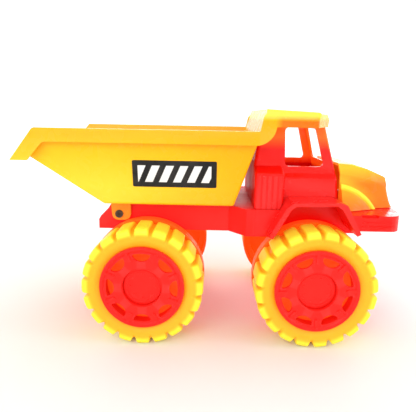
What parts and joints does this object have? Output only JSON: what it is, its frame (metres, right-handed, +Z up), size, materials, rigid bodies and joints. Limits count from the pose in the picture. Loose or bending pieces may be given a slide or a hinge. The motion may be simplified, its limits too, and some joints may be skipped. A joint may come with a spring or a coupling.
{
  "type": "toy dump truck",
  "caption": "Push-along toy dump truck with a tipping load bed, hollow cab with open windows, fixed hood, and four wide lugged wheels on two turning axles",
  "frame": {"origin": "on the ground, under the middle of the whole truck's bounding box", "axes": "+X forward, the way the cab faces; +Y to the truck's left; +Z up"},
  "size_m": [0.378, 0.223, 0.2249],
  "materials": {
    "red_body": "glossy red moulded plastic",
    "red_wheel": "satin red moulded plastic",
    "yellow_bed": "glossy warm yellow moulded plastic",
    "orange_core": "satin orange-red moulded plastic",
    "yellow_tyre": "satin yellow moulded soft plastic",
    "orange_hood": "glossy orange-yellow moulded plastic",
    "label": "printed black label with plain light stripes, laminated",
    "steel": "zinc-plated steel"
  },
  "bodies": {
    "chassis": {"chassis": "red_body", "cab": "red_body", "hood": "orange_hood", "hinge_screws": "steel", "cab_screws": "steel", "hood_screws": "steel"},
    "bed": {"dump_bed": "yellow_bed", "bed_label_left": "label", "bed_label_right": "label"},
    "rear_wheelset": {"rear_axle": "steel", "tyre_rear_left": "yellow_tyre", "wheel_core_rear_left": "orange_core", "hub_rear_left": "red_wheel", "hub_cap_rear_left": "red_wheel", "tyre_rear_right": "yellow_tyre", "wheel_core_rear_right": "orange_core", "hub_rear_right": "red_wheel", "hub_cap_rear_right": "red_wheel"},
    "front_wheelset": {"front_axle": "steel", "tyre_front_left": "yellow_tyre", "wheel_core_front_left": "orange_core", "hub_front_left": "red_wheel", "hub_cap_front_left": "red_wheel", "tyre_front_right": "yellow_tyre", "wheel_core_front_right": "orange_core", "hub_front_right": "red_wheel", "hub_cap_front_right": "red_wheel"}
  },
  "joints": [
    {"name": "bed_tip", "type": "hinge", "parent": "chassis", "child": "bed", "pos_m": [-0.0961, 0, 0.1172], "axis": [0, -1, 0], "range_deg": [0, 45]},
    {"name": "rear_axle_turn", "type": "hinge", "parent": "chassis", "child": "rear_wheelset", "pos_m": [-0.065, 0, 0.058], "axis": [0, 1, 0], "continuous": true},
    {"name": "front_axle_turn", "type": "hinge", "parent": "chassis", "child": "front_wheelset", "pos_m": [0.1, 0, 0.058], "axis": [0, 1, 0], "continuous": true}
  ]
}
